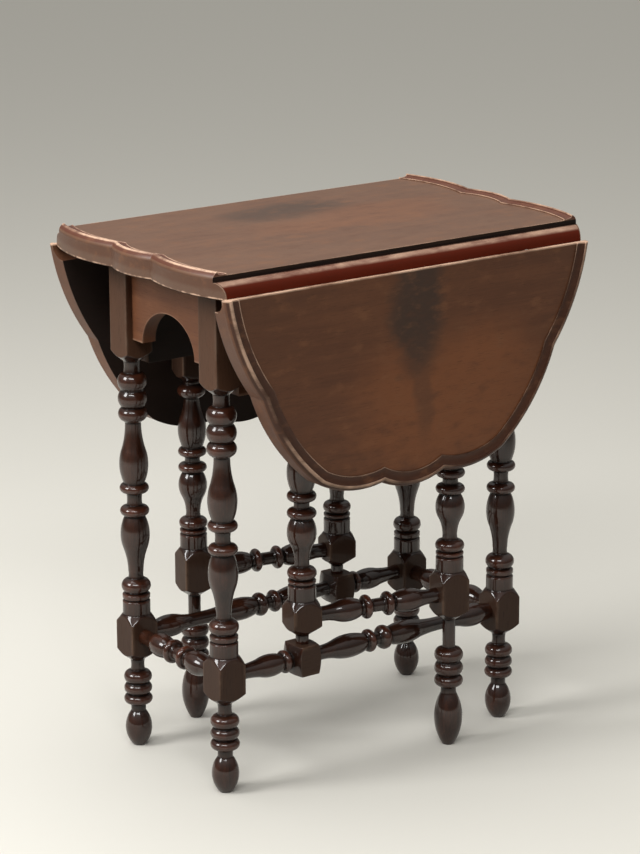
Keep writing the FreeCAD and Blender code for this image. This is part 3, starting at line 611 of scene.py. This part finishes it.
def turned_surface(rows, rebate=None):
    """A square bar turned to a profile. At each height and angle the radius is the soft lesser of the
    profile's radius and of a round-cornered square, half the stock over a high-power norm of (cos, sin). Rows
    lie closer where the profile bends or crosses the square, and columns closer at the square's corners. A
    rebate (height, depth) also keeps points above that height short of a plane cut that deep into one face.
    Gives the points, their worn and hollow masks, found from the profile's bend and from how far it stands
    out from its own average, and the mask of the square faces."""
    curve = softened(arc_chain(rows), turned_ease)
    bend = bends(curve)
    relief = curve[:, 1] - averaged(curve[:, 1], relief_width / (turned_ease / 3))
    crossing = np.abs(curve[:, 1] / half_stock - crossing_middle) < crossing_half
    closer = 1 + crossing_pace * crossing + np.abs(bend) * bend_pace
    pace = np.cumsum(np.hypot(*np.gradient(curve, axis=0).T) * closer)
    stops = np.linspace(pace[0], pace[-1], int((pace[-1] - pace[0]) / turned_step))
    height, radius, bend, relief = (np.interp(stops, pace, part) for part in (*curve.T, bend, relief))
    angle = np.linspace(0, 2 * np.pi, turned_columns, endpoint=False)
    angle = angle + corner_crowding * np.sin(4 * angle)
    powers = np.abs(np.cos(angle)) ** square_power + np.abs(np.sin(angle)) ** square_power
    norm = powers ** (1 / square_power)
    square = np.broadcast_to(half_stock / norm, (len(height), turned_columns))
    if rebate:
        plane = (half_stock - rebate[1]) / np.maximum(np.sin(angle), least_sine)
        square = np.where(height[:, None] > rebate[0], np.minimum(square, plane), square)
    reach = -square_blur * np.logaddexp(-radius[:, None] / square_blur, -square / square_blur)
    points = np.stack([
        reach * np.cos(angle), reach * np.sin(angle), np.broadcast_to(height[:, None], reach.shape)
    ], axis=-1)
    on_square = np.clip((radius[:, None] - square) / face_blend + 0.5, 0, 1)
    corner = np.clip((square / half_stock - corner_from) / corner_span, 0, 1) * on_square * 0.45
    swell = np.clip(relief / swell_relief, 0, 1) * 0.6 + np.clip(-bend * bend_reach, 0, 1) * 0.2
    sunk = np.clip(-relief / sunk_relief, 0, 1) * 0.7 + np.clip(bend * bend_reach, 0, 1) * 0.8
    worn = np.maximum(swell[:, None] * (1 - on_square), corner)
    hollow = np.clip(sunk[:, None] * (1 - on_square), 0, 1)
    return points, worn, hollow, on_square


def grid_quads(rows, columns):
    """Quads between neighbouring rows and columns of a grid that closes round its columns."""
    row, column = np.meshgrid(np.arange(rows - 1), np.arange(columns), indexing="ij")
    beside = (column + 1) % columns
    corners = [row * columns + column, row * columns + beside, (row + 1) * columns + beside,
               (row + 1) * columns + column]
    return np.stack(corners, axis=-1).reshape(-1, 4)


def set_marks(mesh, worn, hollow, bare, grain):
    """Keep the wear masks and the grain coordinates with the mesh's points."""
    for name, values in (("worn", worn), ("hollow", hollow), ("bare", bare)):
        mark = mesh.attributes.new(name, "FLOAT", "POINT")
        mark.data.foreach_set("value", values.astype(np.float32).ravel())
    mark = mesh.attributes.new("grain", "FLOAT_VECTOR", "POINT")
    mark.data.foreach_set("vector", grain.astype(np.float32).ravel())


def add_piece(node, points, faces, marks, finish):
    """A finished piece from points and faces: it stands for one CAD node and rides on that node's body."""
    mesh = bpy.data.meshes.new(node + "_wood")
    mesh.from_pydata(points.reshape(-1, 3), [], faces)
    set_marks(mesh, *marks)
    mesh.shade_smooth()
    mesh.set_sharp_from_angle(angle=sharp_angle)
    mesh.materials.append(finish)
    piece = bpy.data.objects.new(node + "_wood", mesh)
    bpy.context.scene.collection.objects.link(piece)
    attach(piece, frame["nodes"][node]["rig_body"])
    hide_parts(node)


def laid(points, axes, origin):
    """Points of a piece made round the third axis, set on three axes at an origin."""
    return points @ np.asarray(axes, float) + np.asarray(origin, float)


def add_turned(node, surface, axes, origin, finish, lot):
    """Turned piece of one node: the surface's grid with a point closing each end."""
    points, worn, hollow, planed = surface
    rows, columns = worn.shape
    ends = points[[0, -1]].mean(axis=1)
    every = np.concatenate([points.reshape(-1, 3), ends])
    ring = np.arange(columns)
    beside = (ring + 1) % columns
    first = np.stack([np.full(columns, rows * columns), beside, ring], axis=1)
    last = np.stack([np.full(columns, rows * columns + 1), ring + (rows - 1) * columns,
                     beside + (rows - 1) * columns], axis=1)
    faces = grid_quads(rows, columns).tolist() + first.tolist() + last.tolist()
    grain = every + turned_lot_shift * lot
    marks = (np.append(worn, [0, 0]), np.append(hollow, [0.3, 0.3]), np.append(planed, [1, 1]), grain)
    add_piece(node, laid(every, axes, origin), faces, marks, finish)


def board_section(thickness):
    """Closed section of a planed board as (across, share of the height, lift): four eased corners, each a
    quarter circle, with points between them on the faces."""
    turn = np.linspace(0, np.pi / 2, corner_points)
    ease = planed_ease
    across, share, lift = [], [], []
    for side, top in ((1, 0), (1, 1), (-1, 1), (-1, 0)):
        swing = turn if side * (1 - 2 * top) > 0 else turn[::-1]
        across += [side * (thickness / 2 - ease + ease * np.sin(swing))]
        share += [np.full(corner_points, float(top))]
        lift += [(1 - 2 * top) * (ease - ease * np.cos(swing))]
        if (side, top) in ((1, 0), (-1, 1)):
            across += [np.full_like(face_shares, side * thickness / 2)]
            share += [face_shares[::side]]
        else:
            across += [side * thickness * edge_shares]
            share += [np.full_like(edge_shares, top)]
        lift += [np.zeros_like(across[-1])]
    return np.concatenate(across), np.concatenate(share), np.concatenate(lift)


def add_board(node, along, low, high, thickness, axes, origin, finish, lot, inner):
    """Planed board of one node: an eased section carried along its length between a lower and an upper edge,
    closed by a flat face at each end. Inner is the side, 1 or -1, whose face is left bare, or 0 for both; the
    finish paints bare faces near black as bare wood and painted shade."""
    across, share, lift = board_section(thickness)
    low = np.broadcast_to(low, along.shape)
    rise = low[:, None] * (1 - share) + high * share + lift
    wide = np.broadcast_to(across, rise.shape)
    run = np.broadcast_to(along[:, None], rise.shape)
    points = np.stack([wide, rise, run], axis=-1)
    rows, columns = rise.shape
    faces = grid_quads(rows, columns).tolist()
    faces += [np.arange(columns)[::-1].tolist(), (np.arange(columns) + (rows - 1) * columns).tolist()]
    edge = np.where(np.abs(lift) + np.abs(np.abs(across) - thickness / 2) > 0, 1.0, 0.0)
    edge = np.where(np.abs(across) < thickness * corner_outside, 0.0, edge)
    worn = np.broadcast_to(edge, rise.shape).ravel()
    bare = np.where(across * inner > thickness * face_outside, 1.0, 0.0) if inner else np.ones_like(across)
    bare = np.broadcast_to(bare, rise.shape).ravel()
    grain = points.reshape(-1, 3) + board_lot_shift * lot
    marks = (worn, np.zeros_like(worn), bare, grain)
    add_piece(node, laid(points.reshape(-1, 3), axes, origin), faces, marks, finish)


# Finishes: tones as they look on a screen, then how each wood shines and how strongly its grain shows
# The bare tone is near black: bare wood and painted shade under and inside the table
top_tones = {
    "dark": tone(92, 55, 35), "middle": tone(112, 70, 45), "light": tone(132, 88, 59),
    "stain": tone(102, 65, 43), "pore": tone(60, 36, 25), "dirt_and_shade": tone(14, 7, 6),
    "worn": tone(206, 170, 144), "painted_sheen": tone(117, 91, 74), "smoke": tone(74, 58, 48),
    "glow": tone(136, 83, 50), "shadow": tone(89, 58, 41), "leaf_smoke": tone(62, 46, 37),
    "ovolo": tone(84, 24, 5), "rim": tone(88, 42, 28), "leaf_rim": tone(60, 33, 21), "end": tone(86, 57, 42),
    "end_floor_reflection": tone(102, 77, 62), "bare": tone(22, 14, 11),
}
leg_tones = {
    "dark": tone(34, 17, 10), "middle": tone(57, 29, 17), "light": tone(84, 46, 29),
    "stain": tone(32, 17, 10), "pore": tone(20, 11, 8), "dirt_and_shade": tone(6, 4, 3), "worn": tone(110, 56, 36),
    "planed": tone(68, 49, 38), "head": tone(96, 66, 48), "corner": tone(98, 76, 61),
}
# The apron bare tone paints inner faces, upper gate rails and glue blocks near black: bare wood and painted
# shade
apron_tones = {
    "dark": tone(98, 59, 38), "middle": tone(118, 74, 48), "light": tone(138, 92, 63),
    "stain": tone(104, 65, 43), "pore": tone(56, 34, 25), "dirt_and_shade": tone(20, 11, 8),
    "worn": tone(156, 118, 94), "bare": tone(14, 9, 7),
}
top_gloss = {
    "rough": 0.44, "uneven": 0.24, "bump": 0.08, "coat": 0.5, "coat_rough": 0.42, "coat_bend": 1.5,
    "shine": 0.12, "fibre": 0.24, "pores": 0.35, "mottle": 0.42,
}
leaf_gloss = {
    "rough": 0.48, "uneven": 0.2, "bump": 0.08, "coat": 0.06, "coat_rough": 0.3, "coat_bend": 1.5,
    "shine": 0.3, "fibre": 0.22, "pores": 0.4, "mottle": 0.5,
}
turned_gloss = {
    "rough": 0.34, "uneven": 0.26, "bump": 0.12, "coat": 0.95, "coat_rough": 0.08, "coat_bend": 1.6,
    "shine": 0.1, "fibre": 0.5, "pores": 0.4, "mottle": 0.45,
}
apron_gloss = {
    "rough": 0.5, "uneven": 0.2, "bump": 0.12, "coat": 0.06, "coat_rough": 0.3, "coat_bend": 1.5,
    "shine": 0.28, "fibre": 0.3, "pores": 0.4, "mottle": 0.35,
}

top_finish = stained_wood("rubbed_top_wood", board_grain, top_tones, top_gloss, board_wear, top_shade)
leaf_finish = stained_wood("rubbed_leaf_wood", board_grain, top_tones, leaf_gloss, board_wear, leaf_shade)
leg_finish = stained_wood("turned_dark_wood", own_grain, leg_tones, turned_gloss, own_wear, turned_shade)
apron_finish = stained_wood("apron_wood", own_grain, apron_tones, apron_gloss, own_wear, apron_shade)
block_finish = stained_wood("glue_block_wood", board_grain, apron_tones, apron_gloss, board_wear, block_shade)


def metal(name, bright, dark, rough):
    """Aged metal: clouds of tarnish dull it and darken its colour."""
    start, shader, finish = new_finish(name)
    place = start.node("TexCoord", out=3)
    tarnish = place.noise(*tarnish_grain)
    connect(blend(tarnish.ramp(0.35, 0.7), bright, dark), shader, "Base Color")
    connect(rough + (tarnish - 0.5) * 0.3, shader, "Roughness")
    bump = tarnish.node("Bump", None, {"Strength": 0.15, "Distance": tarnish_depth, "Height": tarnish})
    connect(bump, shader, "Normal")
    shader.inputs["Metallic"].default_value = 1.0
    return finish


brass_finish = metal("aged_brass", tone(176, 140, 78), tone(96, 70, 38), 0.38)
steel_finish = metal("dull_screw_steel", tone(150, 148, 144), tone(84, 80, 76), 0.42)


def dress(prefixes, finish):
    """Give a finish to the CAD nodes whose names start so."""
    for name, node in frame["nodes"].items():
        if name.startswith(prefixes):
            node.data.materials.clear()
            node.data.materials.append(finish)


dress(("top_board",), top_finish)
dress(("leaf_",), leaf_finish)
dress(("glue_block",), block_finish)
dress(("hinge_",), brass_finish)
dress(("hinge_top_screws", "hinge_leaf_screws", "top_screws", "hinge_pin"), steel_finish)

# Axes of a turned piece that stands, lies along X or lies along Y
standing = np.eye(3)
lying_x = np.array([[0, 1, 0], [0, 0, 1], [1, 0, 0]])
lying_y = np.array([[0, 0, 1], [1, 0, 0], [0, 1, 0]])


def middle_of(node):
    """Middle of a CAD node's box."""
    low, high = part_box(node)
    return np.array((low + high) / 2)


def leg_surface():
    """Corner leg: turned foot, square block, baluster and square head up to the top."""
    block_start = foot_height
    baluster_start = block_start + lower_block_height
    shoulder_start = side_apron_bottom + head_lap
    foot = turned_rows(foot_shares, 0, foot_height, leg_turned_radius)
    reach = shoulder_start - baluster_start
    baluster = turned_rows(baluster_shares, baluster_start, reach, leg_turned_radius)
    block = block_rows(block_start, lower_block_height, block_shoulder, foot[-1][1], baluster[0][1])
    head = [(shoulder_start + block_shoulder, corner_radius, 0), (underside, corner_radius, 0)]
    return turned_surface(foot + block + baluster + head)


gate_head_start = side_apron_bottom - gate_head_drop


def gate_leg_surface():
    """Gate leg: a slim neck passes the stretcher, and the head is rebated behind."""
    block_start = stretcher_height + rail_turned_radius + gate_foot_gap
    baluster_start = block_start + gate_block_height
    foot = turned_rows(gate_foot_shares, 0, block_start, leg_turned_radius)
    reach = gate_head_start - baluster_start
    baluster = turned_rows(gate_baluster_shares, baluster_start, reach, leg_turned_radius)
    block = block_rows(block_start, gate_block_height, block_shoulder, foot[-1][1], baluster[0][1])
    top = underside - gate_gap
    head = [(gate_head_start + block_shoulder, corner_radius, 0), (top, corner_radius, 0)]
    return turned_surface(foot + block + baluster + head, rebate=(gate_rail_box[1].z, gate_head_rebate))


def pivot_post_surface():
    """Pivot post: block, baluster and head with eased top corners, between two short pintle ends."""
    seat = stretcher_height + half_stock + gate_gap
    neck = leg_turned_radius * gate_foot_shares[-1][1]
    block_start = seat + pivot_neck_height
    baluster_start = block_start + pivot_block_height
    reach = gate_head_start - baluster_start
    baluster = turned_rows(gate_baluster_shares, baluster_start, reach, leg_turned_radius)
    block = block_rows(block_start, pivot_block_height, block_shoulder, neck, baluster[0][1])
    top = side_apron_bottom - gate_gap
    start = [(seat - pintle_stub, pintle_radius, 0), (seat, pintle_radius, 0), (seat, neck, 0)]
    head = [
        (gate_head_start + block_shoulder, corner_radius, 0), (top - planed_ease, corner_radius, 0),
        (top, half_stock * pivot_head_share, 0),
    ]
    end = [(top, pintle_radius, 0), (top + pintle_stub, pintle_radius, 0)]
    return turned_surface(start + block + baluster + head + end)


def long_stretcher_surface(reach, pivot):
    """Long stretcher from -reach to reach: a square block at the pivot between two turned lengths."""
    block_start = pivot - pivot_block_length / 2
    block_end = block_start + pivot_block_length
    short = turned_rows(short_stretcher_shares, -reach, block_start + reach, rail_turned_radius)
    far = turned_rows(long_stretcher_shares, block_end, reach - block_end, rail_turned_radius)
    block = block_rows(block_start, pivot_block_length, block_shoulder / 2, short[-1][1], far[0][1])
    return turned_surface(short + block + far)


def rail_surface(reach):
    """Turned rail from -reach to reach, the same from both ends."""
    return turned_surface(turned_rows(mirrored(half_rail_shares), -reach, reach * 2, rail_turned_radius))


# Turned pieces
corner_leg = leg_surface()
for lot, node in enumerate(("leg_front_left", "leg_front_right", "leg_back_right", "leg_back_left")):
    place = middle_of(node)
    add_turned(node, corner_leg, standing, (place[0], place[1], 0), leg_finish, lot)

leg_place = np.abs(middle_of("leg_front_left"))
inner_x = leg_place[0] - half_stock
inner_y = leg_place[1] - half_stock
pivot_place = middle_of("pivot_post_front")
long_stretcher = long_stretcher_surface(inner_x, pivot_place[0])
end_stretcher = rail_surface(inner_y)
back_turn = np.diag([-1, -1, 1])
for lot, (side, turn) in enumerate((("front", standing), ("back", back_turn))):
    origin = np.array([0, -leg_place[1], stretcher_height]) @ turn
    add_turned("long_stretcher_" + side, long_stretcher, lying_x @ turn, origin, leg_finish,
               lot + long_stretcher_lot)
for lot, (end, turn) in enumerate((("left", standing), ("right", back_turn))):
    origin = np.array([-leg_place[0], 0, stretcher_height]) @ turn
    add_turned("end_stretcher_" + end, end_stretcher, lying_y @ turn, origin, leg_finish,
               lot + end_stretcher_lot)

# Gates: the rail's middle lies half a gate's length from the pivot
gate_run = (middle_of("gate_lower_rail_front") - pivot_place) * np.array([1, 1, 0])
half_gate = np.hypot(*gate_run[:2])
gate_way = gate_run / half_gate
gate_side = np.array([-gate_way[1], gate_way[0], 0])
gate_standing = np.array([gate_way, gate_side, (0, 0, 1)])
gate_lying = np.array([gate_side, (0, 0, 1), gate_way])
gate_leg = gate_leg_surface()
pivot_post = pivot_post_surface()
gate_rail = rail_surface(half_gate - half_stock)
pivot_floor = pivot_place * np.array([1, 1, 0])
rail_run = np.linspace(-1, 1, rail_points) * (half_gate - half_stock)
for lot, (side, turn) in enumerate((("front", standing), ("back", back_turn))):
    leg_origin = (pivot_floor + gate_way * half_gate * 2) @ turn
    rail_origin = (pivot_floor + gate_way * half_gate + np.array([0, 0, gate_rail_height])) @ turn
    upper_origin = (pivot_floor + gate_way * half_gate) @ turn
    post_origin = pivot_floor @ turn
    upright = gate_standing @ turn
    lying = gate_lying @ turn
    add_turned("gate_leg_" + side, gate_leg, upright, leg_origin, leg_finish, lot + gate_leg_lot)
    add_turned("pivot_post_" + side, pivot_post, upright, post_origin, leg_finish, lot + pivot_post_lot)
    add_turned("gate_lower_rail_" + side, gate_rail, lying, rail_origin, leg_finish, lot + lower_rail_lot)
    add_board("gate_upper_rail_" + side, rail_run, gate_rail_box[0].z, gate_rail_box[1].z,
              gate_rail_thickness, lying, upper_origin, apron_finish, lot + upper_rail_lot, 0)

# Aprons: the end ones have an elliptical arch in the lower edge
arch_half = inner_y - arch_margin
arch_swing = np.linspace(-np.pi / 2, np.pi / 2, arch_points)
flank = np.linspace(inner_y, arch_half, flank_points)[:-1]
end_run = np.concatenate([-flank, arch_half * np.sin(arch_swing), flank[::-1]])
arch_low = end_apron_bottom + arch_rise * np.sqrt(np.clip(1 - (end_run / arch_half) ** 2, 0, 1))
side_run = np.linspace(-inner_x, inner_x, side_points)
end_axes = np.array([(-1, 0, 0), (0, 0, 1), (0, 1, 0)])
side_axes = np.array([(0, 1, 0), (0, 0, 1), (1, 0, 0)])
for lot, (end, side, turn) in enumerate((("left", "front", standing), ("right", "back", back_turn))):
    end_origin = np.array([-leg_place[0], 0, 0]) @ turn
    side_origin = np.array([0, -leg_place[1], 0]) @ turn
    add_board("end_apron_" + end, end_run, arch_low, underside, apron_thickness, end_axes @ turn, end_origin,
              apron_finish, lot + end_apron_lot, -1)
    add_board("side_apron_" + side, side_run, side_apron_bottom, underside, apron_thickness, side_axes @ turn,
              side_origin, apron_finish, lot + side_apron_lot, 1)

# Floor: pale to the eye and in reflections, darker as a source of bounced light, and clear from below
floor_size = 30.0
floor_seen_tone = tone(216, 213, 204)
floor_bounce_tone = tone(96, 93, 88)
floor_rough = 0.85
floor_corners = [(x * floor_size, y * floor_size, 0) for x, y in ((-1, -1), (1, -1), (1, 1), (-1, 1))]
floor_mesh = bpy.data.meshes.new("studio_floor")
floor_mesh.from_pydata(floor_corners, [], [(0, 1, 2, 3)])
floor = bpy.data.objects.new("studio_floor", floor_mesh)
bpy.context.scene.collection.objects.link(floor)
floor_start, floor_shader, floor_finish = new_finish("pale_floor")
seeing_rays = ("Is Camera Ray", "Is Glossy Ray", "Is Transmission Ray")
seen, shone, passed = (floor_start.node("LightPath", out=ray) for ray in seeing_rays)
floor_tone = blend((seen + shone + passed).clamped(), floor_bounce_tone, floor_seen_tone)
connect(floor_tone, floor_shader, "Base Color")
floor_shader.inputs["Roughness"].default_value = floor_rough
floor_below = floor_start.node("NewGeometry", out="Backfacing")
floor_above = Wire(floor_finish.node_tree, floor_shader.outputs[0])
floor_clear = floor_start.node("BsdfTransparent")
floor_faces = floor_start.node("MixShader", None, {0: floor_below, 1: floor_above, 2: floor_clear})
connect(floor_faces, floor_finish.node_tree.nodes["Material Output"], "Surface")
floor_mesh.materials.append(floor_finish)

# Light: a soft sky that is brighter overhead, and three soft boxes
sky_strength = 0.6
sky_low_tone = tone(140, 140, 136)
sky_high_tone = tone(252, 251, 248)
sky = bpy.data.worlds.new("soft_sky")
bpy.context.scene.world = sky
sky.use_nodes = True
sky_start = Wire(sky.node_tree)
sky_way = sky_start.node("TexCoord")
sky_up = sky_way.node("SeparateXYZ", None, {0: sky_way}, out=2)
sky_tone = blend(sky_up.ramp(0.05, 0.9), sky_low_tone, sky_high_tone)
connect(sky_tone, sky.node_tree.nodes["Background"], "Color")
sky.node_tree.nodes["Background"].inputs["Strength"].default_value = sky_strength


def soft_box(name, place, aim, size, watts):
    """A soft light of a given width and height at a place, turned to its aim with its width level."""
    lamp = bpy.data.lights.new(name, "AREA")
    lamp.shape = "RECTANGLE"
    lamp.size, lamp.size_y = size
    lamp.energy = watts
    holder = bpy.data.objects.new(name, lamp)
    way = Vector(aim) - Vector(place)
    holder.matrix_world = Matrix.Translation(place) @ way.to_track_quat("-Z", "Y").to_matrix().to_4x4()
    bpy.context.scene.collection.objects.link(holder)


soft_box("left_light", place=(-2.4, 0.5, 1.9), aim=(0, 0, 0.35), size=(1.0, 1.0), watts=54.0)
soft_box("high_light", place=(-1.7, -1.7, 2.6), aim=(0, 0, 0.35), size=(2.2, 0.4), watts=44.0)
soft_box("overhead_light", place=(-0.2, 0.4, 2.6), aim=(0, 0, 0.4), size=(1.6, 1.6), watts=22.0)

# Camera at the photograph's angle: yaw and pitch in degrees, distance in metres, lens for a 36 mm side
view_yaw = math.radians(35.97)
view_pitch = math.radians(15.73)
view_roll = math.radians(-0.16)
view_distance = 3.445
view_shift_right = 0.0002
view_shift_up = 0.060
view_focal_pixels = 3055.0
photo_height = 854
view_target = Vector((0, 0, 0.3))
way = Vector((math.sin(view_yaw) * math.cos(view_pitch), math.cos(view_yaw) * math.cos(view_pitch),
              -math.sin(view_pitch)))
level = Vector((math.cos(view_yaw), -math.sin(view_yaw), 0))
rise = level.cross(way)
right = level * math.cos(view_roll) + rise * math.sin(view_roll)
upward = rise * math.cos(view_roll) - level * math.sin(view_roll)
eye = view_target + right * view_shift_right + upward * view_shift_up - way * view_distance
camera_data = bpy.data.cameras.new("photo_camera")
camera_data.sensor_width = 36.0
camera_data.lens = view_focal_pixels * camera_data.sensor_width / photo_height
camera_data.clip_end = 100.0
camera = bpy.data.objects.new("photo_camera", camera_data)
camera.matrix_world = Matrix((
    (right.x, upward.x, -way.x, eye.x),
    (right.y, upward.y, -way.y, eye.y),
    (right.z, upward.z, -way.z, eye.z),
    (0, 0, 0, 1),
))
bpy.context.scene.collection.objects.link(camera)
bpy.context.scene.camera = camera
bpy.context.scene.view_settings.view_transform = "Standard"
